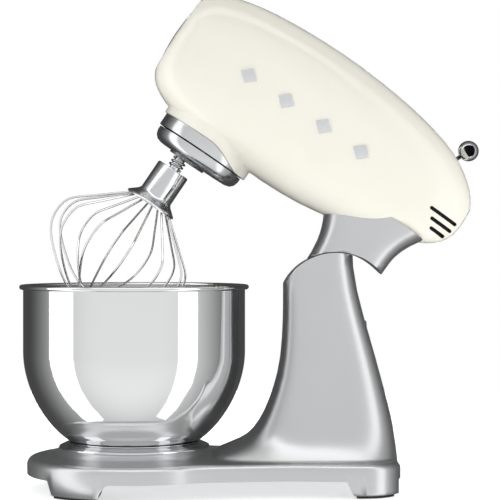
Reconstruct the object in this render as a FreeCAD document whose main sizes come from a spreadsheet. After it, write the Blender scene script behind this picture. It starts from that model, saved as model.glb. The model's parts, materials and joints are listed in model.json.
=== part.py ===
import FreeCAD, Part

import math
import os

import Sketcher
from FreeCAD import Matrix, Placement, Rotation, Vector

# A tilt-head stand mixer, as a parametric FreeCAD document.
# Row frame: +Z up, the head points towards -X, origin on the worktop under the centre of the whole machine.
# The head is drawn level, with its origin on the tilt hinge, and then placed with the head raised.

doc = FreeCAD.newDocument("stand_mixer")

# ---------------------------------------------------------------- driving dimensions, millimetres and degrees
DIMENSIONS = [
    ("tilt_angle", 34, "how far the head is raised"),
    ("hinge_x", 82, "tilt hinge, from the origin"),
    ("hinge_z", 170.7, "tilt hinge above the worktop"),
    ("saddle_radius", 56.6, "arc on top of the pillar, about the hinge"),
    ("saddle_gap", 0.8, "between the pillar's arc and the neck"),
    ("hinge_pin_radius", 6, ""),
    ("hinge_pin_length", 62, ""),
    ("bush_radius", 8, "outer radius of the hinge bushes"),
    ("bush_length", 12, ""),
    ("tongue_width", 27, "arm of the neck that reaches the hinge pin"),
    ("tongue_slot", 31, "slot for it in the pillar's top"),
    ("bowl_x", -112, "bowl axis"),
    ("base_radius", 103.4, "front of the base, round the bowl axis"),
    ("base_rear_x", 142, ""),
    ("base_waist", 74, "half width of the base beside the pillar"),
    ("base_rear_half", 78, ""),
    ("skirt_bottom", 15.5, "lower edge of the base's skirt"),
    ("brim_top", 31.5, "upper face of the base's brim"),
    ("seat_height", 39.7, "top of the pedestal, under the bowl seat"),
    ("seat_radius", 73, ""),
    ("casting_wall", 4, ""),
    ("foot_height", 2.5, "how far the rubber stands below the casting"),
    ("bowl_radius", 107.2, "outside of the bowl's straight wall"),
    ("bowl_wall", 1, ""),
    ("bowl_floor", 38, "underside of the bowl's floor"),
    ("rim_height", 194.2, "middle of the rolled rim"),
    ("rim_radius", 2.35, ""),
    ("foot_ring_radius", 61.5, "bowl's foot"),
    ("hub_x", -194, "planetary axis, from the hinge"),
    ("hub_ring_radius", 48, ""),
    ("collar_radius", 50.2, "painted collar round the hub"),
    ("flange_radius", 46.5, ""),
    ("flange_top", 54.6, ""),
    ("flange_bottom", 41.5, ""),
    ("planet_offset", 22.5, "whisk axis from the planetary axis"),
    ("planet_azimuth", 241, "where the whisk axis stands at rest"),
    ("gear_module", 1.5, ""),
    ("ring_teeth", 45, ""),
    ("pinion_teeth", 15, ""),
    ("drive_shaft_radius", 6, ""),
    ("planet_shaft_radius", 5, ""),
    ("outlet_height", 136, "axis of the front power outlet"),
    ("motor_x", -100, "motor axis, from the hinge"),
    ("motor_radius", 37, ""),
    ("motor_bottom", 84, ""),
    ("motor_top", 141, ""),
    ("belt_bottom", 152, ""),
    ("belt_width", 10, ""),
    ("small_pulley", 9, ""),
    ("large_pulley", 45, ""),
    ("head_wall", 2.6, ""),
    ("whisk_sleeve_radius", 16.6, ""),
    ("whisk_sleeve_top", 26.1, ""),
    ("whisk_sleeve_bottom", -3.6, ""),
    ("collar_rim_radius", 25.8, ""),
    ("collar_rim_height", -12.6, ""),
    ("wire_radius", 1, ""),
    ("whisk_tip", -127.5, "middle of the lowest wire"),
    ("whisk_loops", 6, ""),
    ("whisk_turn", 10, "azimuth of the first loop at rest"),
    ("knob_radius", 10, ""),
    ("button_radius", 9.5, ""),
    ("button_height", 152, ""),
]

sheet = doc.addObject("Spreadsheet::Sheet", "dims")
for row, (alias, value, note) in enumerate(DIMENSIONS, start=1):
    sheet.set(f"A{row}", alias)
    sheet.set(f"B{row}", str(value))
    sheet.setAlias(f"B{row}", alias)
    if note:
        sheet.set(f"C{row}", note)
doc.recompute()


def dim(alias):
    """One driving dimension from the sheet."""
    return float(getattr(sheet, alias))


X, Y, Z = Vector(1, 0, 0), Vector(0, 1, 0), Vector(0, 0, 1)
HINGE = Vector(dim("hinge_x"), 0, dim("hinge_z"))
RAISED = Placement(HINGE, Rotation(Y, dim("tilt_angle")))
HUB = Vector(dim("hub_x"), 0, 0)
AZIMUTH = math.radians(dim("planet_azimuth"))
PLANET = HUB + Vector(math.cos(AZIMUTH), math.sin(AZIMUTH), 0) * dim("planet_offset")
subparts = []


# ---------------------------------------------------------------- helpers
def keep(obj, label, placement=None):
    """Marks an object as a finished sub-part: its label names its file. placement moves it on from where it was drawn."""
    obj.Label = label
    if placement is not None:
        obj.Placement = placement.multiply(obj.Placement)
    subparts.append(obj)
    return obj


def bind(obj, **expressions):
    """Binds properties of an object to expressions on the sheet."""
    for prop, text in expressions.items():
        obj.setExpression(prop, text)
    return obj


def cylinder(name, radius, height, base=Vector(), axis=Z):
    """A Part cylinder. radius and height are expressions on the sheet, such as 'dims.bush_radius'."""
    obj = doc.addObject("Part::Cylinder", name)
    bind(obj, Radius=radius, Height=height)
    obj.Placement = Placement(base, Rotation(Z, axis))
    return obj


def box(name, low, high):
    """A Part box between two corners."""
    obj = doc.addObject("Part::Box", name)
    obj.Length, obj.Width, obj.Height = (high[k] - low[k] for k in range(3))
    obj.Placement = Placement(Vector(*low), Rotation())
    return obj


def cut(name, base, *tools):
    """base minus every tool, as Part features."""
    result = base
    for n, tool in enumerate(tools):
        step = doc.addObject("Part::Cut", f"{name}_cut{n}")
        step.Base, step.Tool = result, tool
        result = step
    return result


def fuse(name, *shapes):
    obj = doc.addObject("Part::MultiFuse", f"{name}_fuse")
    obj.Shapes = list(shapes)
    return obj


def feature(name, shape):
    """A Part::Feature for a shape that no feature of the workbenches gives."""
    obj = doc.addObject("Part::Feature", name)
    obj.Shape = shape
    return obj


def origin_plane(body, role):
    return next(f for f in body.Origin.OriginFeatures if f.Role == role)


def amount(spec):
    """A size as (value, expression). spec is a number, an alias, or (alias, offset)."""
    if isinstance(spec, (int, float)):
        return float(spec), None
    alias, offset = spec if isinstance(spec, tuple) else (spec, 0)
    return dim(alias) + offset, f"dims.{alias} + {offset}"


def turned_body(name, corners, at=Vector()):
    """A PartDesign body turned about the vertical line through `at`. Corners are (radius, height) sizes."""
    body = doc.addObject("PartDesign::Body", name)
    sketch = body.newObject("Sketcher::SketchObject", name + "_profile")
    sketch.AttachmentSupport = (origin_plane(body, "XZ_Plane"), [""])
    sketch.MapMode = "FlatFace"
    sizes = [(amount(radius), amount(height)) for radius, height in corners]
    spots = [Vector(radius[0], height[0], 0) for radius, height in sizes]
    count = len(spots)
    for n in range(count):
        sketch.addGeometry(Part.LineSegment(spots[n], spots[(n + 1) % count]), False)
    for n in range(count):
        sketch.addConstraint(Sketcher.Constraint("Coincident", n, 2, (n + 1) % count, 1))
    for n, corner in enumerate(sizes):
        for kind, (value, expression) in zip(("DistanceX", "DistanceY"), corner):
            number = sketch.addConstraint(Sketcher.Constraint(kind, -1, 1, n, 1, value))
            if expression:
                sketch.setExpression(f"Constraints[{number}]", expression)
    turn = body.newObject("PartDesign::Revolution", name + "_turn")
    turn.Profile = sketch
    turn.ReferenceAxis = (sketch, ["V_Axis"])
    turn.Angle = 360
    body.Placement = Placement(at, Rotation())
    return body


def level(at):
    """Places a shape that was drawn about the origin at a point of the level head, raised with the head."""
    return RAISED.multiply(Placement(at, Rotation()))


def ring_shape(outer, inner, low, high, at=Vector()):
    tube = Part.makeCylinder(outer, high - low, at + Z * low)
    return tube.cut(Part.makeCylinder(inner, high - low + 2, at + Z * (low - 1)))


def spline_through(points, start=None, end=None):
    """A smooth curve through a few points, with its end tangents if they matter."""
    curve = Part.BSplineCurve()
    if start is None:
        curve.interpolate(Points=points)
    else:
        curve.interpolate(Points=points, InitialTangent=start, FinalTangent=end)
    return curve


def height_on(curve, x):
    """The curve's second coordinate where its first is x. The curve runs one way in x."""
    low, high = curve.FirstParameter, curve.LastParameter
    for _ in range(60):
        middle = (low + high) / 2
        if curve.value(middle).x < x:
            low = middle
        else:
            high = middle
    return curve.value((low + high) / 2).y


def superellipse(centre, half_a, half_b, power, along_a, along_b, count=36):
    """A closed smooth wire: an ellipse at power 2, squarer as the power rises."""
    points = []
    for k in range(count):
        angle = 2 * math.pi * k / count
        a = math.copysign(abs(math.cos(angle)) ** (2 / power), math.cos(angle)) * half_a
        b = math.copysign(abs(math.sin(angle)) ** (2 / power), math.sin(angle)) * half_b
        points.append(centre + along_a * a + along_b * b)
    curve = Part.BSplineCurve()
    curve.interpolate(Points=points, PeriodicFlag=True)
    return Part.Wire([curve.toShape()])


# ---------------------------------------------------------------- gears
def involute(angle):
    return math.tan(angle) - angle


def gear_outline(teeth, module, tip, root, thicken, turn=0):
    """The closed outline of a spur gear in the XY plane, with one tooth at angle `turn` in degrees.
    tip and root are radii, and thicken widens each tooth at the pitch circle (negative thins it)."""
    pitch = teeth * module / 2
    pressure = math.radians(20)
    base = pitch * math.cos(pressure)
    steps = 3

    def half_tooth(radius):
        flank = math.acos(min(1, base / max(radius, base)))
        return math.pi / (2 * teeth) + thicken / (2 * pitch) + involute(pressure) - involute(flank)

    points = []
    for k in range(teeth):
        middle = math.radians(turn) + 2 * math.pi * k / teeth
        radii = [root + (tip - root) * n / steps for n in range(steps + 1)]
        left = [(r, middle - half_tooth(r)) for r in radii]
        right = [(r, middle + half_tooth(r)) for r in reversed(radii)]
        points += left + right
    corners = [Vector(r * math.cos(a), r * math.sin(a), 0) for r, a in points]
    return Part.makePolygon(corners + corners[:1])


def gear_solid(outline, thickness):
    return Part.Face(outline).extrude(Z * thickness)


# ---------------------------------------------------------------- base and pillar
def base_outline(inset=0):
    """The base seen from above: a round front, a waist beside the pillar and rounded rear corners."""
    radius = dim("base_radius") - inset
    centre = Vector(dim("bowl_x"), 0, 0)
    leave = math.radians(62)
    join = centre + Vector(math.cos(leave), math.sin(leave), 0) * radius
    corner = 35 - inset / 2
    rear_x, rear_half = dim("base_rear_x") - inset, dim("base_rear_half") - inset
    rear = Vector(rear_x - corner, rear_half, 0)
    waist = Vector(40, dim("base_waist") - inset, 0)
    side = spline_through([join, Vector(-15, dim("base_waist") + 5.2 - inset, 0), waist, rear],
                          Vector(math.sin(leave), -math.cos(leave), 0) * 60, X * 60)
    flip = Matrix()
    flip.scale(1, -1, 1)
    corner_arc = Part.Arc(rear, Vector(rear_x - corner * (1 - math.sqrt(0.5)), rear_half - corner * (1 - math.sqrt(0.5)), 0),
                          Vector(rear_x, rear_half - corner, 0)).toShape()
    half = [side.toShape(), corner_arc]
    other = [edge.transformGeometry(flip) for edge in half]
    front = Part.Arc(join, centre - X * radius, Vector(join.x, -join.y, 0)).toShape()
    back = Part.makeLine(Vector(rear_x, rear_half - corner, 0), Vector(rear_x, corner - rear_half, 0))
    edges = Part.__sortEdges__(half + other + [front, back])
    return Part.Wire(edges)


PILLAR = [  # height, front, rear, half width
    (27, -47, 141.8, 70.5), (34, -37, 141.2, 64.0), (41, -22, 140.5, 58.0), (50, -4, 139.2, 52.0), (64, 8.3, 137.0, 46.5),
    (84, 18, 132.4, 42.0), (110, 26.3, 125.6, 38.5), (145, 31, 115.8, 36.0), (190, 32.1, 103.6, 34.4), (238, 32.1, 98.6, 33.6)]


def stacked(sections, heights, power, inset=0):
    """A smooth column: rounded sections at many heights, between side lines through a few sections."""
    sides = [spline_through([Vector(row[0], row[column], 0) for row in sections]) for column in (1, 2, 3)]
    wires = []
    for height in heights:
        front, rear, half = (height_on(side, height) for side in sides)
        centre = Vector((front + rear) / 2, 0, height)
        wires.append(superellipse(centre, (rear - front) / 2 - inset, half - inset, power, X, Y, 32))
    return Part.makeLoft(wires, True, True)


def pillar_solid(inset=0):
    """The pillar, from inside the base up past the hinge, flaring into the base."""
    heights = [27, 30.5, 34, 37.5, 41, 45.5, 50, 56, 64, 73, 84, 96, 110, 126, 145, 166, 190, 214, 238]
    return stacked(PILLAR, heights, 3.4, inset)


def base_casting():
    skirt, brim = dim("skirt_bottom"), dim("brim_top")
    bowl = Vector(dim("bowl_x"), 0, 0)
    seat, seat_radius = dim("seat_height"), dim("seat_radius")
    wall = dim("casting_wall")
    foot = dim("foot_height")
    slab = Part.Face(base_outline()).extrude(Z * (brim - foot))
    slab.translate(Z * foot)
    slab = slab.makeFillet(7, [e for e in slab.Edges if e.BoundBox.ZMin > brim - 0.01])
    # the pedestal under the bowl, with a hollow sweep down to the brim
    sweep = spline_through([Vector(seat_radius, 0, seat), Vector(79, 0, 34.6), Vector(88, 0, 32.4), Vector(99, 0, 30)],
                           Vector(0.6, 0, -1) * 8, Vector(1, 0, -0.3) * 12).toShape()
    below = Part.makePolygon([Vector(99, 0, 30), Vector(99, 0, 20), Vector(0, 0, 20), Vector(0, 0, seat),
                              Vector(seat_radius, 0, seat)])
    pedestal = Part.Face(Part.Wire([sweep] + below.Edges)).revolve(Vector(), Z, 360)
    pedestal.translate(bowl)
    outer = slab.fuse(pedestal).fuse(pillar_solid())
    # hollow: under the base, and inside the pillar
    for gap in foot_gaps(foot, skirt):
        outer = outer.cut(gap)
    under = Part.Face(base_outline(wall)).extrude(Z * (brim - wall))
    under_bowl = Part.makeCylinder(60, seat - 10 - skirt, bowl + Z * skirt)
    cavity = pillar_solid(wall)
    inner_saddle = Part.makeCylinder(dim("saddle_radius") - wall, 200, Vector(HINGE.x, -100, HINGE.z), Y)
    lower_half = Part.makeBox(300, 200, HINGE.z, Vector(-80, -100, 0))
    cavity = cavity.common(inner_saddle.fuse(lower_half))
    cavity = cavity.cut(Part.makeCylinder(seat_radius + 4, 60, bowl))
    pocket = Part.makeCylinder(64, 8, bowl + Z * (seat - 5.7))
    body = outer.cut(under).cut(under_bowl).cut(cavity).cut(pocket)
    # round saddle on top, about the hinge
    above = Part.makeBox(200, 200, 90, Vector(HINGE.x - 100, -100, HINGE.z))
    saddle = Part.makeCylinder(dim("saddle_radius"), 200, Vector(HINGE.x, -100, HINGE.z), Y)
    body = body.cut(above.cut(saddle))
    # bosses for the hinge, screw bosses and the four cast feet with their sloping sides
    for side in (-1, 1):
        boss = Part.makeCylinder(13, 18.5, Vector(HINGE.x, side * 15, HINGE.z), Y * side)
        body = body.fuse(boss.common(pillar_solid(1)))
    for spot in plate_screw_spots():
        body = body.fuse(Part.makeCylinder(5, brim - wall - 17.5, spot + Z * 18.5))
        body = body.cut(Part.makeCylinder(2, 9, spot + Z * 17.5))
    column = Part.Face(base_outline(1)).extrude(Z * (brim - wall + 0.5 - foot))
    column.translate(Z * foot)
    column = column.cut(Part.makeBox(500, 112, 60, Vector(-250, -56, -10)))
    for gap in foot_gaps(foot, brim):
        column = column.cut(gap)
    for block in column.Solids:
        body = body.fuse(block)
    # holes: hinge bushes, the slot for the neck's arm, the release button and the cord
    bush_hole = dim("hinge_pin_length")
    tools = [Part.makeCylinder(dim("bush_radius"), bush_hole + 1, Vector(HINGE.x, -bush_hole / 2 - 0.5, HINGE.z), Y)]
    fan = sector(77, 144.6, 40, 62, dim("tongue_slot"))
    fan.translate(HINGE)
    tools.append(fan)
    tools.append(Part.makeCylinder(dim("button_radius") + 0.4, 60, Vector(80, 0, dim("button_height")), X))
    tools.append(Part.makeCylinder(6, 30, Vector(125, 0, 22), X))
    for tool in tools:
        body = body.cut(tool)
    return body


def foot_gaps(foot, top):
    """What is cut away below `top` to leave four feet with sloping sides."""
    lines = [[(-240, 0), (-184, 0), (-184, foot), (-188.5, top), (-240, top)],
             [(-139, 0), (-139, foot), (-137.5, foot + 5), (-132, top - 1), (-129, top), (88, top), (90, top - 1),
              (96.5, foot), (96.5, 0)]]
    gaps = [Part.Face(Part.makePolygon([Vector(x, -130, z) for x, z in line + line[:1]])).extrude(Y * 260) for line in lines]
    return gaps + [Part.makeBox(80, 112, top, Vector(90, -56, 0))]


def plate_screw_spots():
    """Four screws hold the plate under the base."""
    return [Vector(dim("bowl_x") + 74 * a, 62 * b, 0) for a, b in ((-0.9, 0.5), (-0.9, -0.5))] + \
        [Vector(132.5, 30 * b, 0) for b in (1, -1)]


def sector(start, end, inner, outer, width):
    """A slice of a ring about the Y axis, between two angles in degrees measured from +X towards +Z."""
    lean = math.radians(start)
    along = Vector(math.cos(lean), 0, math.sin(lean))
    corners = [along * inner - Y * width / 2, along * outer - Y * width / 2,
               along * outer + Y * width / 2, along * inner + Y * width / 2]
    return Part.Face(Part.makePolygon(corners + corners[:1])).revolve(Vector(), Y, start - end)


# ---------------------------------------------------------------- head
TOP_LINE = [(-274, 178), (-266, 187), (-252, 194.3), (-230, 200.8), (-195, 206), (-155, 208.6), (-115, 208.8), (-75, 206.4),
            (-40, 202.2), (-10, 196), (14, 188), (33, 176.8), (45, 166.4), (53, 154)]
BOTTOM_LINE = [(-274, 98), (-270, 89.5), (-262, 82.2), (-248, 75.6), (-228, 70.6), (-195, 67.4), (-155, 65.6), (-115, 65.5),
               (-80, 68.4), (-40, 76.4), (0, 88.6), (28, 99.5), (44, 109.6), (53, 125)]
HALF_LINE = [(-274, 38), (-264, 48.5), (-245, 56.2), (-205, 62.8), (-155, 64.4), (-105, 61.8), (-55, 55), (-5, 44.8),
             (28, 35), (45, 26.5), (53, 19)]


def head_curve(line):
    return spline_through([Vector(x, z, 0) for x, z in line])


def head_loft(inset=0):
    """The head as a solid of rounded sections, drawn in on every side by `inset`."""
    top, bottom, half = (head_curve(line) for line in (TOP_LINE, BOTTOM_LINE, HALF_LINE))
    stations = [-272.5, -270.8, -268.6, -265.5, -261.5, -256.5, -250, -242, -232, -220, -206, -190, -172, -152, -130, -108,
                -87, -68, -50, -33, -17, -3, 9, 19, 28, 35.5, 42, 47, 50.3, 52.5]
    wires = []
    for n, x in enumerate(stations):
        high, low, width = height_on(top, x), height_on(bottom, x), height_on(half, x)
        place = x + inset if n == 0 else x - inset if n == len(stations) - 1 else x
        if n and not stations[0] + inset < place < stations[-1] - inset and n != len(stations) - 1:
            continue
        wires.append(superellipse(Vector(place, 0, (high + low) / 2), (high - low) / 2 - inset, width - inset, 3.4, Z, Y, 40))
    return Part.makeLoft(wires, True, True)


def neck_bolt_spots():
    return [Vector(x, side * 16, 0) for x in (-40, -8) for side in (-1, 1)]


def neck_bolt_shapes(radius):
    return [Part.makeCylinder(radius, 46, spot + Z * 60) for spot in neck_bolt_spots()]


def head_shell(outer, inner):
    hub_radius, collar = dim("hub_ring_radius") + 0.2, dim("collar_radius")
    skin = outer.cut(inner)
    tube = ring_shape(collar, hub_radius, 56, 86, HUB).cut(inner)
    tube = tube.cut(Part.makeCylinder(collar + 5, 40, HUB + Z * 90))
    skin = skin.fuse(tube).cut(Part.makeCylinder(hub_radius, 40, HUB + Z * 40))
    sweep = spline_through([Vector(x, -70, z) for x, z in ((-190, 68.4), (-176, 65.6), (-165, 61), (-154, 55.8))],
                           X * 12, Vector(1, 0, -0.5) * 10).toShape()
    step = Part.makePolygon([Vector(x, -70, z) for x, z in ((-154, 55.8), (-154, 40), (-260, 40), (-260, 68.4), (-190, 68.4))])
    skin = skin.cut(Part.Face(Part.Wire([sweep] + step.Edges)).extrude(Y * 140))
    skin = skin.cut(Part.makeCylinder(18.6, 30, Vector(-285, 0, dim("outlet_height")), X))
    slot = Part.makeBox(34, 6.4, 40, Vector(-10, -3.2, 170))
    skin = skin.cut(slot)
    for shape in vent_slots():
        skin = skin.cut(shape)
    for bolt in neck_bolt_shapes(3):
        skin = skin.cut(bolt)
    return skin


def vent_slots():
    shapes = []
    for start, end, height in ((19.2, 47.5, 132.8), (25.2, 47.2, 124.8), (30.1, 44.4, 116.9)):
        for side in (-1, 1):
            across = Y * side
            shapes.append(Part.makeBox(end - start, 50, 3.6, Vector(start, 15 if side > 0 else -65, height - 1.8)))
            shapes.append(Part.makeCylinder(1.8, 50, Vector(start, side * 15, height), across))
            shapes.append(Part.makeCylinder(1.8, 50, Vector(end, side * 15, height), across))
    merged = shapes[0].multiFuse(shapes[1:])
    return merged.Solids


NECK = [(22, -50.4, 17.3, 33.6), (48, -52.4, 17.3, 34), (62, -56.4, 17.4, 34.8), (72, -61.3, 18.0, 36), (84, -70, 21.2, 38),
        (93, -78, 25.4, 40), (104, -88, 32.5, 42)]


def neck_casting(outer):
    neck = stacked(NECK, [22, 35, 48, 56, 62, 67, 72, 76, 80, 84, 88, 93, 98, 104], 3.4)
    arc = Part.makeCylinder(dim("saddle_radius") + dim("saddle_gap"), 200, Vector(0, -100, 0), Y)
    neck = neck.cut(arc).cut(outer)
    width = dim("tongue_width")
    arm = sector(112, 144, 8, 61, width).fuse(Part.makeCylinder(14, width, Vector(0, -width / 2, 0), Y))
    neck = neck.fuse(arm).cut(Part.makeCylinder(dim("hinge_pin_radius"), 80, Vector(0, -40, 0), Y))
    for bolt in neck_bolt_shapes(3):
        neck = neck.cut(bolt)
    return neck


def chassis(inside):
    """The frame in the head: bearing tower over the hub, a beam to the motor and a shelf for the board."""
    tower = Part.makeCylinder(18, 60, HUB + Z * 70)
    beam = Part.makeBox(161, 64, 5.5, Vector(-215, -32, 74.5))
    seat = Part.makeCylinder(31, 4.5, Vector(dim("motor_x"), 0, 79.5))
    step = Part.makeBox(6, 44, 30, Vector(-60, -22, 74.5))
    shelf = Part.makeBox(68, 44, 4, Vector(-60, -22, 100.5))
    frame = beam.multiFuse([tower, seat, step, shelf]).common(inside)
    for side in (-1, 1):
        frame = frame.fuse(Part.makeBox(14, 5, 36, Vector(-14, side * 8.5 - 2.5, 103)))
    for x in (-52, -24):
        for y in (-17, 17):
            frame = frame.fuse(Part.makeCylinder(3, 8, Vector(x, y, 103)))
    frame = frame.fuse(Part.makeCylinder(47.6, 6, HUB + Z * 68.5))
    frame = frame.cut(Part.makeCylinder(12, 70, HUB + Z * 74))
    frame = frame.cut(Part.makeCylinder(10, 20, HUB + Z * 60))
    frame = frame.cut(Part.makeCylinder(8, 20, Vector(dim("motor_x"), 0, 70)))
    for bolt in neck_bolt_shapes(3):
        frame = frame.cut(bolt)
    return frame.cut(Part.makeCylinder(2, 40, PIVOT - Y * 20, Y))


PIVOT = Vector(-6.9, 0, 131.4)
LEVER_LEAN = 68.3


def lever():
    lean = math.radians(LEVER_LEAN)
    along = Vector(math.cos(lean), 0, math.sin(lean))
    hub = Part.makeCylinder(6, 10, PIVOT - Y * 5, Y)
    stem = Part.makeCylinder(2, 66, PIVOT + along * 3, along)
    return hub.fuse(stem).cut(Part.makeCylinder(2.08, 30, PIVOT - Y * 15, Y)), PIVOT + along * 75.1


def ornaments():
    band = head_loft(-1.4).cut(head_loft(0))
    shapes = []
    for n, x in enumerate((-193, -151, -108.5, -66)):
        half_x, half_z = 9, 8
        corners = [Vector(x - half_x, -90, 137.5), Vector(x, -90, 137.5 + half_z), Vector(x + half_x, -90, 137.5),
                   Vector(x, -90, 137.5 - half_z)]
        prism = Part.Face(Part.makePolygon(corners + corners[:1])).extrude(Y * 180)
        shapes += band.common(prism).Solids
    return Part.makeCompound(shapes)


def vent_liner():
    sheet_metal = head_loft(2.8).cut(head_loft(4.2))
    window = Part.makeBox(44, 160, 30, Vector(10, -80, 110))
    shapes = sheet_metal.common(window).Solids
    return Part.makeCompound(shapes)


def along_x(shape, at):
    """Turns a shape drawn about +Z so that its axis points forward, -X."""
    shape = shape.copy()
    shape.rotate(Vector(), Y, -90)
    shape.translate(at)
    return shape


def revolved(points, at=Vector()):
    """A solid turned from (radius, height) points."""
    corners = [Vector(r, 0, z) for r, z in points]
    solid = Part.Face(Part.makePolygon(corners + corners[:1])).revolve(Vector(), Z, 360)
    solid.translate(at)
    return solid


def domed(radius, edge, rise):
    """A button shape: a flat back, a straight edge and a spherical front, about +Z."""
    sphere_radius = (radius * radius + rise * rise) / (2 * rise)
    arc = Part.Arc(Vector(radius, 0, edge), Vector(sphere_radius * math.sin(math.asin(radius / sphere_radius) / 2), 0,
                   edge + rise - sphere_radius + sphere_radius * math.cos(math.asin(radius / sphere_radius) / 2)),
                   Vector(0, 0, edge + rise)).toShape()
    lines = Part.makePolygon([Vector(0, 0, edge + rise), Vector(), Vector(radius, 0, 0), Vector(radius, 0, edge)])
    return Part.Face(Part.Wire(Part.__sortEdges__([arc] + lines.Edges))).revolve(Vector(), Z, 360)


# ---------------------------------------------------------------- bowl and whisk
BOWL_POLES = [(107.2, 132), (107.2, 87), (71, 38), (38, 38)]


def bowl_side(offset=0):
    """The outside of the bowl's wall from the straight part to the floor, or a line inside it."""
    curve = Part.BezierCurve()
    curve.setPoles([Vector(r, 0, z) for r, z in BOWL_POLES])
    points = []
    steps = 18
    for n in range(steps + 1):
        spot = curve.FirstParameter + (curve.LastParameter - curve.FirstParameter) * n / steps
        tangent = Vector(*curve.tangent(spot)[0])
        points.append(curve.value(spot) + Vector(tangent.z, 0, -tangent.x) * offset)
    return spline_through(points, Vector(0, 0, -1) * 12, Vector(-1, 0, 0) * 12)


def bowl_solid(offset):
    side = bowl_side(offset).toShape()
    top = side.Vertexes[0].Point
    low = side.Vertexes[1].Point
    rim = dim("rim_height")
    lines = Part.makePolygon([low, Vector(0, 0, low.z), Vector(0, 0, rim), Vector(top.x, 0, rim), top])
    return Part.Face(Part.Wire(Part.__sortEdges__([side] + lines.Edges))).revolve(Vector(), Z, 360)


def mixing_bowl():
    outer, inner = bowl_solid(0), bowl_solid(dim("bowl_wall"))
    if inner.BoundBox.XMax > outer.BoundBox.XMax:
        inner = bowl_solid(-dim("bowl_wall"))
    inner = inner.fuse(Part.makeCylinder(dim("bowl_radius") - dim("bowl_wall"), 30, Z * (dim("rim_height") - 25)))
    shell = outer.cut(inner)
    roll = Part.makeTorus(dim("bowl_radius") + 1.4, dim("rim_radius"), Z * dim("rim_height"))
    return shell.fuse(roll), outer


WHISK_LINE = [(15.9, -9), (29, -19.8), (42, -30.5), (55, -41.2), (63.2, -48), (67.6, -53.2), (70.2, -60), (70.9, -67),
              (70, -76), (66.4, -84.6), (59.5, -93.6), (50.5, -102.4), (39, -112), (26, -120.8), (13, -126), (0, -127.5)]


def whisk_wire(number):
    """One loop of wire. Each loop ends a little higher than the one before, so that they cross without touching."""
    lift = 2.25 * number
    side = [(r, z + lift * max(0, (-z - 60) / 67.5)) for r, z in WHISK_LINE]
    turn = math.radians(dim("whisk_turn") + 180 * number / dim("whisk_loops"))
    along = Vector(math.cos(turn), math.sin(turn), 0)
    points = [along * r + Z * z for r, z in side] + [along * -r + Z * z for r, z in reversed(side[:-1])]
    path = Part.Wire([spline_through([PLANET + p for p in points]).toShape()])
    start = path.Edges[0].Curve
    tangent = Vector(*start.tangent(start.FirstParameter)[0])
    circle = Part.Wire([Part.makeCircle(dim("wire_radius"), PLANET + points[0], tangent)])
    return path.makePipeShell([circle], True, False)


def coil(radius, wire, low, high, turns):
    """A compression spring about +Z."""
    helix = Part.makeHelix((high - low) / turns, high - low, radius)
    circle = Part.Wire([Part.makeCircle(wire, Vector(radius, 0, 0), Y)])
    spring = Part.Wire(helix.Edges).makePipeShell([circle], True, True)
    spring.translate(Z * low)
    return spring


def belt():
    """A flat ribbed belt round the two pulleys, 0.3 mm clear of them."""
    low, width = dim("belt_bottom"), dim("belt_width")
    small, large = dim("small_pulley") + 0.3, dim("large_pulley") + 0.3
    span = dim("motor_x") - dim("hub_x")

    def loop(extra):
        r1, r2 = large + extra, small + extra
        lean = math.acos((large - small) / span)
        a = [HUB + Vector(math.cos(t), math.sin(t), 0) * r1 for t in (lean, math.pi, -lean)]
        motor = Vector(dim("motor_x"), 0, 0)
        b = [motor + Vector(math.cos(t), math.sin(t), 0) * r2 for t in (-lean, 0, lean)]
        edges = [Part.Arc(*a).toShape(), Part.makeLine(a[2], b[0]), Part.Arc(*b).toShape(), Part.makeLine(b[2], a[0])]
        return Part.Face(Part.Wire(edges)).extrude(Z * width)

    ring = loop(2.2).cut(loop(0))
    ring.translate(Z * low)
    return ring


def planet_carrier():
    """The rotating cup under the hub, with the boss that carries the whisk's shaft."""
    radius, top, low = dim("flange_radius"), dim("flange_top"), dim("flange_bottom")
    shaft = dim("drive_shaft_radius")
    cup = revolved([(shaft, low), (radius - 9, low), (radius - 4.5, low + 1.4), (radius - 1.4, low + 4.6), (radius, low + 9),
                    (radius, top), (radius - 3.5, top), (radius - 3.5, low + 6), (12, low + 6), (12, top), (shaft, top)], HUB)
    arm = Part.makeBox(dim("planet_offset"), 26, 2.5, Vector(0, -13, 0))
    arm.rotate(Vector(), Z, dim("planet_azimuth"))
    arm.translate(HUB + Z * (low - 2.5))
    boss = Part.makeCylinder(13, 3, PLANET + Z * (low - 2.5))
    round_end = Part.makeCylinder(13, 2.5, HUB + Z * (low - 2.5))
    post = Part.makeCylinder(9.5, 14, PLANET + Z * (low + 0.5))
    carrier = cup.fuse(arm).fuse(boss).fuse(round_end).fuse(post)
    carrier = carrier.cut(Part.makeCylinder(7, 40, PLANET + Z * 30))
    return carrier.cut(Part.makeCylinder(shaft, 40, HUB + Z * 30))


def cross_pin(radius, reach):
    lean = math.radians(-52)
    along = Vector(math.cos(lean), math.sin(lean), 0)
    return Part.makeCylinder(radius, 2 * reach, PLANET + Z * 12 - along * reach, along)


def whisk_collar():
    """The sleeve that locks on the shaft, flared over the ends of the wires."""
    sleeve, top, low = dim("whisk_sleeve_radius"), dim("whisk_sleeve_top"), dim("whisk_sleeve_bottom")
    rim, rim_z, shaft = dim("collar_rim_radius"), dim("collar_rim_height"), dim("planet_shaft_radius")
    collar = revolved([(shaft, top), (sleeve - 1, top), (sleeve, top - 1), (sleeve, low), (sleeve + 1.6, low - 2.6),
                       (rim, rim_z), (rim, rim_z - 1.6), (rim - 1.6, rim_z - 1.6), (sleeve - 0.4, low - 3),
                       (shaft, low - 3)], PLANET)
    lean = -52
    slot = Part.makeBox(4, 3.5, 60, Vector(sleeve - 1.8, -1.75, low + 2))
    slot.rotate(Vector(), Z, lean)
    slot.translate(PLANET)
    return collar.cut(slot).cut(cross_pin(1.8, 18))


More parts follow.
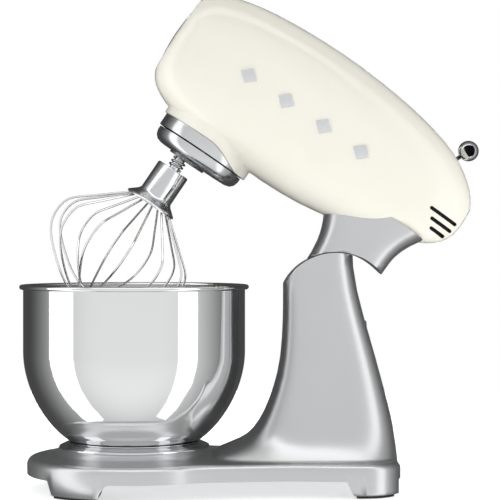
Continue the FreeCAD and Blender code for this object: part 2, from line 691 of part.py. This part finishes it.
def whisk_hub(wires):
    """The disc inside the collar that holds the ends of the wires."""
    low, sleeve = dim("whisk_sleeve_bottom"), dim("whisk_sleeve_radius")
    disc = revolved([(0, low - 3.2), (sleeve - 0.6, low - 3.2), (sleeve + 5.2, low - 9.2), (0, low - 9.2)], PLANET)
    return disc.cut(wires)


def cooling_fan():
    hub = ring_shape(8, 4, 145.5, 149.5)
    plate = ring_shape(30, 7, 145.5, 146.5)
    fan = hub.fuse(plate)
    for k in range(9):
        blade = Part.makeBox(20, 1.2, 3.5, Vector(9, -0.6, 146))
        blade.rotate(Vector(), Z, 40 * k)
        fan = fan.fuse(blade)
    fan.translate(Vector(dim("motor_x"), 0, 0))
    return fan


def rubber_feet():
    height = dim("foot_height")
    column = Part.Face(base_outline(2)).extrude(Z * height)
    pads = []
    for low, high in ((-182, -141), (99, 140)):
        for side in (-1, 1):
            block = Part.makeBox(high - low, 50, height, Vector(low, 60 if side > 0 else -110, 0))
            pads += column.common(block).Solids
    return Part.makeCompound(pads)


def base_plate():
    plate = Part.Face(base_outline(dim("casting_wall") + 0.4)).extrude(Z * 1.6)
    plate.translate(Z * 16.9)
    for low, high in ((-192, -126), (84, 160)):
        for side in (-1, 1):
            plate = plate.cut(Part.makeBox(high - low, 60, 10, Vector(low, 55.5 if side > 0 else -115.5, 10)))
    for spot in plate_screw_spots():
        plate = plate.cut(Part.makeCylinder(2, 10, spot + Z * 10))
    return plate.cut(Part.makeBox(20, 13.6, 10, Vector(131, -6.8, 12)))  # room for the cord gland


def screw(radius, head_radius, head, length, at, axis=Z):
    """A screw with its head's outer face at `at`, its shank along `axis`."""
    shank = Part.makeCylinder(radius, head + length, at, axis)
    return shank.fuse(Part.makeCylinder(head_radius, head, at, axis))


def neck_bolts():
    shapes = [shape.fuse(Part.makeCylinder(5, 4, spot + Z * 104.5)) for shape, spot in
              zip(neck_bolt_shapes(3), neck_bolt_spots())]
    return Part.makeCompound(shapes)


def release_button():
    radius, height = dim("button_radius"), dim("button_height")
    stem = Part.makeCylinder(radius, 11.8, Vector(101, 0, height), X)
    lip = Part.makeCylinder(radius + 2.5, 3, Vector(101, 0, height), X)
    button = stem.fuse(lip)
    rim = [e for e in button.Edges if e.BoundBox.XMin > 112.7]
    return button.makeFillet(1.2, rim)


def hinge_bushes():
    length, outer, inner = dim("bush_length") + 2.5, dim("bush_radius"), dim("hinge_pin_radius") + 0.06
    shapes = []
    for side in (-1, 1):
        tube = Part.makeCylinder(outer, length, Vector(HINGE.x, side * 15.3, HINGE.z), Y * side)
        shapes.append(tube.cut(Part.makeCylinder(inner, length, Vector(HINGE.x, side * 15.3, HINGE.z), Y * side)))
    return Part.makeCompound(shapes)


def bearings(at, outer, inner, levels):
    return Part.makeCompound([ring_shape(outer, inner, low, high, at) for low, high in levels])


# ---------------------------------------------------------------- the sub-parts
MOTOR = Vector(dim("motor_x"), 0, 0)
BOWL = Vector(dim("bowl_x"), 0, 0)
outer_head, inner_head, free_head = head_loft(0), head_loft(dim("head_wall")), head_loft(dim("head_wall") + 0.4)

# stand
keep(feature("casting", base_casting()), "stand_casting")
keep(feature("plate", base_plate()), "base_plate")
screws = [screw(2, 4, 1.2, 9, spot + Z * 15.7) for spot in plate_screw_spots()]
keep(feature("plate_screws", Part.makeCompound(screws)), "base_plate_screws")
keep(feature("feet", rubber_feet()), "rubber_feet")
seat = ("seat_height", 0)
keep(turned_body("clamp", [(("seat_radius", -0.4), seat), (("seat_radius", -0.4), ("seat_height", 1.5)), (64.2, 45), (62.3, 45),
                           (62.3, 36), (63.9, 36), (63.9, seat)], BOWL), "bowl_clamp_ring")
keep(feature("bushes", hinge_bushes()), "hinge_bushes")
gland_rod = cylinder("gland_rod", "6 mm", "9 mm", Vector(133, 0, 22), X)
gland_bore = cylinder("gland_bore", "3.6 mm", "20 mm", Vector(127, 0, 22), X)
keep(cut("gland", gland_rod, gland_bore), "cord_gland")
keep(feature("button", release_button()), "release_button")

# bowl
bowl, bowl_filled = mixing_bowl()
keep(feature("bowl", bowl), "mixing_bowl", Placement(BOWL, Rotation()))
ring_radius = dim("foot_ring_radius")
keep(feature("bowl_foot", ring_shape(ring_radius, ring_radius - 2, 34.4, 52).cut(bowl_filled)), "bowl_foot_ring",
     Placement(BOWL, Rotation()))

# head
keep(feature("shell", head_shell(outer_head, inner_head)), "head_shell", RAISED)
keep(feature("neck", neck_casting(outer_head)), "neck_casting", RAISED)
keep(feature("bolts", neck_bolts()), "neck_bolts", RAISED)
pin_start = HINGE - Y * (dim("hinge_pin_length") / 2 - 1)
keep(cylinder("pin", "dims.hinge_pin_radius", "dims.hinge_pin_length - 2", pin_start, Y), "hinge_pin")
keep(feature("frame", chassis(free_head)), "head_chassis", RAISED)
keep(turned_body("hub", [("hub_ring_radius", 56), ("hub_ring_radius", 68.5), (("hub_ring_radius", -4), 68.5),
                         (("hub_ring_radius", -4), 56)]), "hub_ring", level(HUB))
ring_pitch, azimuth = dim("gear_module") * dim("ring_teeth") / 2, dim("planet_azimuth")
space = gear_solid(gear_outline(int(dim("ring_teeth")), dim("gear_module"), ring_pitch + 1.8, ring_pitch - 1, 0.3, azimuth), 20)
space.translate(Z * 50)
gear_ring = Part.makeCylinder(dim("hub_ring_radius") - 4.1, 11.5, Z * 57).cut(space)
keep(feature("annulus", gear_ring), "ring_gear", level(HUB))
keep(feature("tower_bearings", bearings(HUB, 12, dim("drive_shaft_radius") + 0.05, ((76, 85), (120, 129)))), "shaft_bearings", RAISED)
motor_radius, can_low, can_high = "motor_radius", "motor_bottom", "motor_top"
keep(turned_body("can", [(motor_radius, can_low), (motor_radius, can_high), ((motor_radius, -3), can_high),
                         ((motor_radius, -3), (can_low, 4)), (8, (can_low, 4)), (8, can_low)]), "motor_can", level(MOTOR))
keep(turned_body("lid", [((motor_radius, -0.5), can_high), ((motor_radius, -0.5), (can_high, 3)), (8, (can_high, 3)),
                         (8, can_high)]), "motor_lid", level(MOTOR))
keep(turned_body("stator", [((motor_radius, -3), 95), ((motor_radius, -3), 128), (22.5, 128), (22.5, 95)]), "stator_core",
     level(MOTOR))
keep(feature("can_bearings", bearings(MOTOR, 8, 4.05, ((84, 88), (141, 144)))), "motor_bearings", RAISED)
keep(box("board", (-57, -21, 111), (-18, 21, 112.6)), "control_board", RAISED)
board_bits = [Part.makeCylinder(6, 14, Vector(-47, 10, 112.6)), Part.makeBox(15, 11, 9, Vector(-44, -14, 112.6)),
              Part.makeBox(4, 26, 16, Vector(-24, -13, 112.6))]
keep(feature("bits", Part.makeCompound(board_bits)), "board_parts", RAISED)
keep(cylinder("lever_axle", "2 mm", "22 mm", PIVOT - Y * 11, Y), "lever_pin", RAISED)
keep(feature("socket", along_x(revolved([(12, 0), (18.5, 0), (18.5, 20.8), (30, 20.8), (30, 23.8), (18.5, 23.8), (18.5, 26.4),
                                         (12, 26.4)]), Vector(-246, 0, dim("outlet_height")))), "outlet_socket", RAISED)
rear = domed(15.6, 1, 1.4)
rear.rotate(Vector(), Y, 90)
rear.translate(Vector(52.5, 0, 140))
keep(feature("rear_badge", rear), "rear_plate", RAISED)
keep(feature("marks", ornaments()), "head_ornaments", RAISED)
keep(feature("liner", vent_liner()), "vent_liner", RAISED)
keep(feature("drive", belt()), "drive_belt", RAISED)

# rotating hub
keep(feature("carrier", planet_carrier()), "planet_carrier", RAISED)
keep(cylinder("hub_shaft", "dims.drive_shaft_radius", "122 mm"), "drive_shaft", level(HUB + Z * dim("flange_bottom")))
keep(turned_body("pulley", [(6, 150), (14, 150), (14, 151.5), ("large_pulley", 151.5), ("large_pulley", 162.5),
                            (("large_pulley", -5), 162.5), (("large_pulley", -5), 154.5), (14, 154.5), (14, 163.5),
                            (6, 163.5)]), "hub_pulley", level(HUB))
keep(feature("bush", ring_shape(7, dim("planet_shaft_radius") + 0.05, 39, 55.9)), "planet_bush", level(PLANET))

# whisk and its shaft
planet_shaft = Part.makeCylinder(dim("planet_shaft_radius"), 73.4, PLANET - Z * 6.4).cut(cross_pin(1.8, 18))
keep(feature("whisk_shaft", planet_shaft), "planet_shaft", RAISED)
pinion_teeth, module = int(dim("pinion_teeth")), dim("gear_module")
pitch = pinion_teeth * module / 2
pinion = gear_solid(gear_outline(pinion_teeth, module, pitch + 1.3, pitch - 1.8, -0.25, azimuth), 7)
pinion = pinion.cut(Part.makeCylinder(dim("planet_shaft_radius"), 20, Z * -5))
pinion.translate(Z * 57.5)
keep(feature("planet_gear", pinion), "planet_pinion", level(PLANET))
keep(feature("sleeve", whisk_collar()), "whisk_collar", RAISED)
wires = Part.makeCompound([whisk_wire(k) for k in range(int(dim("whisk_loops")))])
keep(feature("wires", wires), "whisk_wires", RAISED)
keep(feature("wire_hub", whisk_hub(wires)), "whisk_hub", RAISED)
keep(feature("whisk_cross_pin", cross_pin(1.8, 17.6)), "whisk_pin", RAISED)
keep(feature("spring", coil(6.25, 1.1, 27.9, 37.3, 2.6)), "shaft_spring", level(PLANET))

# motor
keep(cylinder("rotor_shaft", "4 mm", "84 mm"), "motor_shaft", level(MOTOR + Z * 79))
keep(turned_body("rotor", [(4, 96), (21.8, 96), (21.8, 127), (4, 127)]), "rotor_core", level(MOTOR))
keep(turned_body("copper", [(4, 129), (9, 129), (9, 138), (4, 138)]), "commutator", level(MOTOR))
keep(feature("fan", cooling_fan()), "cooling_fan", RAISED)
keep(turned_body("drive_pulley", [(4, 151.5), ("small_pulley", 151.5), ("small_pulley", 162.5), (4, 162.5)]), "motor_pulley",
     level(MOTOR))

# speed lever and front cap
stick, knob_centre = lever()
keep(feature("stick", stick), "speed_lever", RAISED)
keep(feature("ball", Part.makeSphere(dim("knob_radius"), knob_centre).cut(stick)), "lever_knob", RAISED)
cap = domed(36, 1, 3.6).fuse(Part.makeCylinder(11.6, 21, Z * -20))
keep(feature("cap", along_x(cap, Vector(-272.8, 0, dim("outlet_height")))), "front_cap", RAISED)

doc.recompute()

# ---------------------------------------------------------------- check and export
os.makedirs("parts", exist_ok=True)
for obj in doc.Objects:
    if "Invalid" in obj.State or "Error" in obj.State:
        raise SystemExit(f"{obj.Name} has state {obj.State}")
for obj in subparts:
    shape = obj.Shape
    if shape.isNull() or not shape.isValid() or not shape.Solids:
        raise SystemExit(f"{obj.Label} has no valid solid")
    shape.exportStep(f"parts/{obj.Label}.step")
    print(f"{obj.Label}: {len(shape.Solids)} solid(s), {shape.Volume / 1000:.1f} cm3")
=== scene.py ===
import json
import math

import bmesh
import bpy
from mathutils import Matrix, Vector


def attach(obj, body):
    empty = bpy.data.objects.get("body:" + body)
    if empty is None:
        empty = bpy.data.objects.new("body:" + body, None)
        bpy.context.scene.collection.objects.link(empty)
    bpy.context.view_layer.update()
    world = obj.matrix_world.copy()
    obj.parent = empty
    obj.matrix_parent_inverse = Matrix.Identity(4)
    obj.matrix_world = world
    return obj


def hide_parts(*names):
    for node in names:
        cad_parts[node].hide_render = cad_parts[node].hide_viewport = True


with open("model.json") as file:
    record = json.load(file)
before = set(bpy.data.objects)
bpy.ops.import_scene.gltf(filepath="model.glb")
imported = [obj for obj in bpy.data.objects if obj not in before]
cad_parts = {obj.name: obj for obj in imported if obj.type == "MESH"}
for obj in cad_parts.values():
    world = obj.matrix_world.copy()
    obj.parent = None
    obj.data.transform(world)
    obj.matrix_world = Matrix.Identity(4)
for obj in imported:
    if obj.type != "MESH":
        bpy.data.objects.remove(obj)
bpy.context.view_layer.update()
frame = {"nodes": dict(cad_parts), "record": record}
recordSlots = {row["node"]: row["material_slot"] for row in frame["record"]["subparts"]}
scene = bpy.context.scene
mmPerM = 1000
print("frame loaded:", len(frame["nodes"]), "nodes")


def srgb(code):
    values = [int(code[n:n + 2], 16) / 255 for n in (1, 3, 5)]
    return [v / 12.92 if v <= 0.04045 else ((v + 0.055) / 1.055) ** 2.4 for v in values] + [1.0]


def addNode(tree, kind, settings=None, links=None):
    node = tree.nodes.new(kind)
    for name, value in (settings or {}).items():
        if name in node.inputs:
            node.inputs[name].default_value = value
        else:
            setattr(node, name, value)
    for socket, source in (links or {}).items():
        tree.links.new(source, node.inputs[socket])
    return node


def blankMaterial(name):
    material = bpy.data.materials.new(name)
    material.use_nodes = True
    tree = material.node_tree
    tree.nodes.clear()
    return material, tree, addNode(tree, "ShaderNodeOutputMaterial")


def makeFinish(name, look):
    material, tree, out = blankMaterial(name)
    shader = addNode(tree, "ShaderNodeBsdfPrincipled", {
        "Base Color": srgb(look["colour"]), "Metallic": look["metal"], "Roughness": look["rough"],
        "Coat Weight": look.get("coat", 0.0), "Coat Roughness": look.get("coatRough", 0.05),
        "Specular IOR Level": look.get("gloss", 0.5), "Emission Color": srgb(look["colour"]),
        "Emission Strength": look.get("glow", 0.0)})
    tree.links.new(shader.outputs["BSDF"], out.inputs["Surface"])
    place = addNode(tree, "ShaderNodeTexCoord").outputs["Object"]
    stretch = look.get("stretch", (1, 1, 1))
    lean = math.radians(look.get("leanDeg", 0))
    turned = addNode(tree, "ShaderNodeVectorRotate", {"rotation_type": "Y_AXIS", "Angle": lean},
                     {"Vector": place}).outputs["Vector"]
    space = addNode(tree, "ShaderNodeMapping", {"Scale": stretch}, {"Vector": turned}).outputs["Vector"]
    grain = addNode(tree, "ShaderNodeTexNoise", {"Scale": mmPerM / look["grainMm"], "Detail": 4.0,
                                                 "Roughness": 0.6}, {"Vector": space}).outputs["Fac"]
    spread = look.get("spread", 0.04)
    rough = addNode(tree, "ShaderNodeMapRange", {
        "From Min": 0.3, "From Max": 0.7, "To Min": max(0.0, look["rough"] - spread),
        "To Max": look["rough"] + spread}, {"Value": grain})
    tree.links.new(rough.outputs["Result"], shader.inputs["Roughness"])
    if "second" in look:  # a slow change of tone over the surface
        slow = addNode(tree, "ShaderNodeTexNoise", {"Scale": mmPerM / look.get("toneMm", 60), "Detail": 2.0},
                       {"Vector": place})
        mix = addNode(tree, "ShaderNodeMix", {"data_type": "RGBA"})
        mix.inputs[6].default_value = srgb(look["colour"])
        mix.inputs[7].default_value = srgb(look["second"])
        tree.links.new(slow.outputs["Fac"], mix.inputs[0])
        tree.links.new(mix.outputs[2], shader.inputs["Base Color"])
    if look.get("bumpMm"):
        bump = addNode(tree, "ShaderNodeBump", {"Strength": 1.0, "Distance": look["bumpMm"] / mmPerM},
                       {"Height": grain})
        tree.links.new(bump.outputs["Normal"], shader.inputs["Normal"])
    return material


finishLooks = {
    "stand_paint": {"colour": "#C8C9CA", "second": "#C3C4C5", "metal": 0.92, "rough": 0.31, "grainMm": 0.5,
                    "bumpMm": 0.002},
    "head_enamel": {"colour": "#EAE7DC", "second": "#E8E5D9", "metal": 0.0, "rough": 0.16, "grainMm": 2.2,
                    "bumpMm": 0.001,
                    "coat": 0.35, "coatRough": 0.03, "spread": 0.02},
    "polished_steel": {"colour": "#DFE0E0", "metal": 1.0, "rough": 0.055, "grainMm": 1.4, "spread": 0.02,
                       "stretch": (0.05, 0.05, 1)},
    "chrome": {"colour": "#D6D8DA", "metal": 1.0, "rough": 0.06, "grainMm": 3.0, "spread": 0.01},
    "steel": {"colour": "#B4B7BA", "metal": 1.0, "rough": 0.22, "grainMm": 0.6, "spread": 0.05},
    "zinc": {"colour": "#B9BDC0", "second": "#A9ADB2", "metal": 1.0, "rough": 0.34, "grainMm": 4.0,
             "spread": 0.06, "toneMm": 9},
    "satin_aluminium": {"colour": "#CDCFD1", "metal": 1.0, "rough": 0.20, "grainMm": 0.5, "bumpMm": 0.004,
                        "spread": 0.05,
                        "stretch": (0.04, 0.04, 1), "leanDeg": 34},
    "cast_aluminium": {"colour": "#A7A9AB", "second": "#989A9D", "metal": 0.9, "rough": 0.48,
                       "grainMm": 0.9, "bumpMm": 0.02},
    "rubber": {"colour": "#151515", "metal": 0.0, "rough": 0.78, "grainMm": 0.7, "bumpMm": 0.01},
    "bronze": {"colour": "#9C7A45", "metal": 1.0, "rough": 0.42, "grainMm": 0.4, "bumpMm": 0.004},
    "copper": {"colour": "#B8734A", "metal": 1.0, "rough": 0.30, "grainMm": 0.5},
    "lamination": {"colour": "#5A5C60", "metal": 0.9, "rough": 0.50, "grainMm": 0.5, "stretch": (0.05,
                   0.05, 1),
                   "bumpMm": 0.02},
    "black_plastic": {"colour": "#060606", "metal": 0.0, "rough": 0.55, "gloss": 0.2, "grainMm": 0.5,
                      "bumpMm": 0.004},
    "board": {"colour": "#10502E", "second": "#0D4527", "metal": 0.0, "rough": 0.30, "grainMm": 1.5,
              "toneMm": 5},
}
finishes = {name: makeFinish(name, look) for name, look in finishLooks.items()}
print("finishes made:", len(finishes))

bodyOf = {node: body for body, nodes in frame["record"]["behaviour"]["bodies"].items() for node in nodes}


mergeMm = 0.004
flatDeg = 0.6  # faces closer than this to one plane are joined before edges are rounded
fromDeg = 40  # edges sharper than this are rounded


def dressed(node, look):
    source = frame["nodes"][node]
    mesh = bpy.data.meshes.new(node + "_skin")
    work = bmesh.new()
    work.from_mesh(source.data)
    bmesh.ops.remove_doubles(work, verts=work.verts, dist=mergeMm / mmPerM)
    if look.get("roundMm"):
        bmesh.ops.dissolve_limit(work, angle_limit=math.radians(flatDeg), verts=work.verts, edges=work.edges)
        sharp = [e for e in work.edges
                 if len(e.link_faces) == 2 and e.calc_face_angle() > math.radians(fromDeg)]
        bmesh.ops.bevel(work, geom=sharp, offset=look["roundMm"] / mmPerM, segments=2, profile=0.5,
                        affect="EDGES", material=-1, clamp_overlap=True)
    bmesh.ops.recalc_face_normals(work, faces=work.faces)
    work.to_mesh(mesh)
    work.free()
    mesh.materials.clear()
    mesh.materials.append(finishes[recordSlots[node]])
    mesh.polygons.foreach_set("use_smooth", [True] * len(mesh.polygons))
    mesh.set_sharp_from_angle(angle=math.radians(look["angle"]))
    piece = bpy.data.objects.new(node + "_skin", mesh)
    scene.collection.objects.link(piece)
    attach(piece, bodyOf[node])
    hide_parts(node)
    return piece


# soft cast and sheet surfaces
skinLooks = {
    "stand_casting": {"angle": 38},
    "neck_casting": {"angle": 34},
    "head_shell": {"angle": 34},
    "mixing_bowl": {"angle": 30},
    "bowl_foot_ring": {"angle": 30},
    "bowl_clamp_ring": {"angle": 30, "roundMm": 0.25},
    "rubber_feet": {"angle": 30, "roundMm": 0.4},
    "cord_gland": {"angle": 30, "roundMm": 0.4},
    "release_button": {"angle": 40},
    "base_plate": {"angle": 30},
    "base_plate_screws": {"angle": 30, "roundMm": 0.2},
    "hub_ring": {"angle": 30, "roundMm": 0.3},
    "planet_carrier": {"angle": 34},
    "whisk_collar": {"angle": 34},
    "whisk_wires": {"angle": 60},
    "whisk_hub": {"angle": 40},
    "whisk_pin": {"angle": 40},
    "planet_shaft": {"angle": 40},
    "planet_bush": {"angle": 40},
    "shaft_spring": {"angle": 60},
    "head_ornaments": {"angle": 30, "roundMm": 0.4},
    "rear_plate": {"angle": 30},
    "front_cap": {"angle": 34},
    "lever_knob": {"angle": 50},
    "speed_lever": {"angle": 40},
    "vent_liner": {"angle": 40},
    "outlet_socket": {"angle": 40},
}
skins = {node: dressed(node, look) for node, look in skinLooks.items()}
print("skins made:", len(skins))

for node, piece in frame["nodes"].items():
    if node not in skins:
        piece.data.materials.clear()
        piece.data.materials.append(finishes[recordSlots[node]])
print("inner pieces finished:", len(frame["nodes"]) - len(skins))


# stage
def emitter(name, colour, strength):
    material, tree, out = blankMaterial(name)
    glow = addNode(tree, "ShaderNodeEmission", {"Color": srgb(colour), "Strength": strength})
    tree.links.new(glow.outputs["Emission"], out.inputs["Surface"])
    return material


def stageCard(name, centre, size, aim, material, unseenBy=()):
    mesh = bpy.data.meshes.new(name)
    w, h = size[0] / 2, size[1] / 2
    mesh.from_pydata([(-w, -h, 0), (w, -h, 0), (w, h, 0), (-w, h, 0)], [], [(0, 1, 2, 3)])
    mesh.materials.append(material)
    card = bpy.data.objects.new(name, mesh)
    scene.collection.objects.link(card)
    direction = Vector(aim) - Vector(centre)
    card.matrix_world = Matrix.Translation(centre) @ direction.to_track_quat("Z", "Y").to_matrix().to_4x4()
    for ray in unseenBy:
        setattr(card, "visible_" + ray, False)
    return card


hiddenFromLight = ("glossy", "diffuse", "shadow", "transmission")
floorLook = {"colour": "#FFFFFF", "metal": 0.0, "rough": 0.6, "grainMm": 6.0, "glow": 0.55}
wallLook = {"distance": 6.0, "height": 0.6, "size": (12.4, 12.4), "glow": 1.0}
floorPlace = {"place": (0, -2.4, -0.0004), "size": (8, 7), "aim": (0, -2.4, 1)}
floorPaper = makeFinish("floor_paper", floorLook)
stageCard("floor", floorPlace["place"], floorPlace["size"], floorPlace["aim"], floorPaper, ("glossy",))
wallGlow = emitter("wall_glow", "#FFFFFF", wallLook["glow"])
for turn in range(4):  # white walls that only the camera sees
    across, along = [(0, 1), (1, 0), (0, -1), (-1, 0)][turn]
    place = (across * wallLook["distance"], along * wallLook["distance"], wallLook["height"])
    aim = (0, 0, wallLook["height"])
    stageCard("wall_" + str(turn), place, wallLook["size"], aim, wallGlow, hiddenFromLight)

softboxes = [  # name, place, size, aim, strength
    ("strip_left", (-1.265, -0.331, -0.1), (0.67, 4.4), (-0.112, 0, -0.1), 1.7),
    ("strip_right", (0.906, -0.636, -0.1), (0.46, 4.4), (-0.112, 0, -0.1), 1.8),
    ("strip_top", (-0.1, -0.6, 1.7), (1.8, 0.5), (-0.05, 0, 0.35), 2.4),
]
for name, place, size, aim, strength in softboxes:
    stageCard(name, place, size, aim, emitter(name + "_glow", "#FFFFFF", strength), ("camera", "diffuse"))

darkCard = makeFinish("black_card", {"colour": "#050505", "metal": 0.0, "rough": 0.9, "grainMm": 5.0})
# makes the dark spot in the ball
knobLook = {"place": (0.2118, -0.024, 0.3258), "aim": (0.2118, 0, 0.3258), "size": (0.10, 0.10)}
stageCard("knob_card", knobLook["place"], knobLook["size"], knobLook["aim"], darkCard,
          ("camera", "diffuse", "shadow"))


def softLight(name, centre, size, power):  # lights matt surfaces and isn't mirrored in the metal
    data = bpy.data.lights.new(name, "AREA")
    data.shape, data.size, data.size_y = "RECTANGLE", size[0], size[1]
    data.energy = power
    lamp = bpy.data.objects.new(name, data)
    scene.collection.objects.link(lamp)
    direction = Vector(lampAim) - Vector(centre)
    lamp.matrix_world = Matrix.Translation(centre) @ direction.to_track_quat("-Z", "Y").to_matrix().to_4x4()
    lamp.visible_glossy = False
    return lamp


lampAim = (0, 0, 0.25)
lamps = [  # name, place, size, power
    ("key", (-0.9, -1.6, 1.5), (0.9, 0.9), 3),
    ("top_back", (0.1, 0.9, 1.7), (1.6, 1.0), 22),
    ("side_left", (-1.7, 0.5, 0.7), (0.8, 1.2), 9),
    ("side_right", (1.7, 0.5, 0.7), (0.8, 1.2), 9),
]
for lamp in lamps:
    softLight(*lamp)

# bright on the camera's side, dark behind the mixer
worldLook = {"near": 0.98, "far": 0.07, "below": 1.12, "above": 0.94}
world = bpy.data.worlds.new("studio")
scene.world = world
world.use_nodes = True
sky = world.node_tree
facing = addNode(sky, "ShaderNodeTexCoord").outputs["Generated"]
split = addNode(sky, "ShaderNodeSeparateXYZ", {}, {"Vector": facing})
level = addNode(sky, "ShaderNodeMapRange", {
    "interpolation_type": "SMOOTHSTEP", "From Min": -0.9, "From Max": 0.75,
    "To Min": worldLook["near"], "To Max": worldLook["far"]}, {"Value": split.outputs["Y"]})
lift = addNode(sky, "ShaderNodeMapRange", {
    "interpolation_type": "SMOOTHSTEP", "From Min": -0.9, "From Max": 0.4,
    "To Min": worldLook["below"], "To Max": worldLook["above"]}, {"Value": split.outputs["Z"]})
both = addNode(sky, "ShaderNodeMath", {"operation": "MULTIPLY"})
sky.links.new(level.outputs["Result"], both.inputs[0])
sky.links.new(lift.outputs["Result"], both.inputs[1])
sky.links.new(both.outputs["Value"], sky.nodes["Background"].inputs["Strength"])
sky.nodes["Background"].inputs["Color"].default_value = srgb("#FFFFFF")

cameraLook = {"place": (0.0, -1.626, 0.2333), "aim": (0.0, 0.0, 0.2299), "lens": 120.7}
cameraData = bpy.data.cameras.new("camera")
cameraData.lens, cameraData.sensor_width = cameraLook["lens"], 36.0
camera = bpy.data.objects.new("camera", cameraData)
scene.collection.objects.link(camera)
camera.location = cameraLook["place"]
camera.rotation_mode = "QUATERNION"
sight = Vector(cameraLook["aim"]) - Vector(cameraLook["place"])
camera.rotation_quaternion = sight.to_track_quat("-Z", "Y")
scene.camera = camera
scene.view_settings.view_transform = "Standard"
scene.view_settings.look = "None"
scene.view_settings.exposure = 0.0
print("stage, light and camera set")
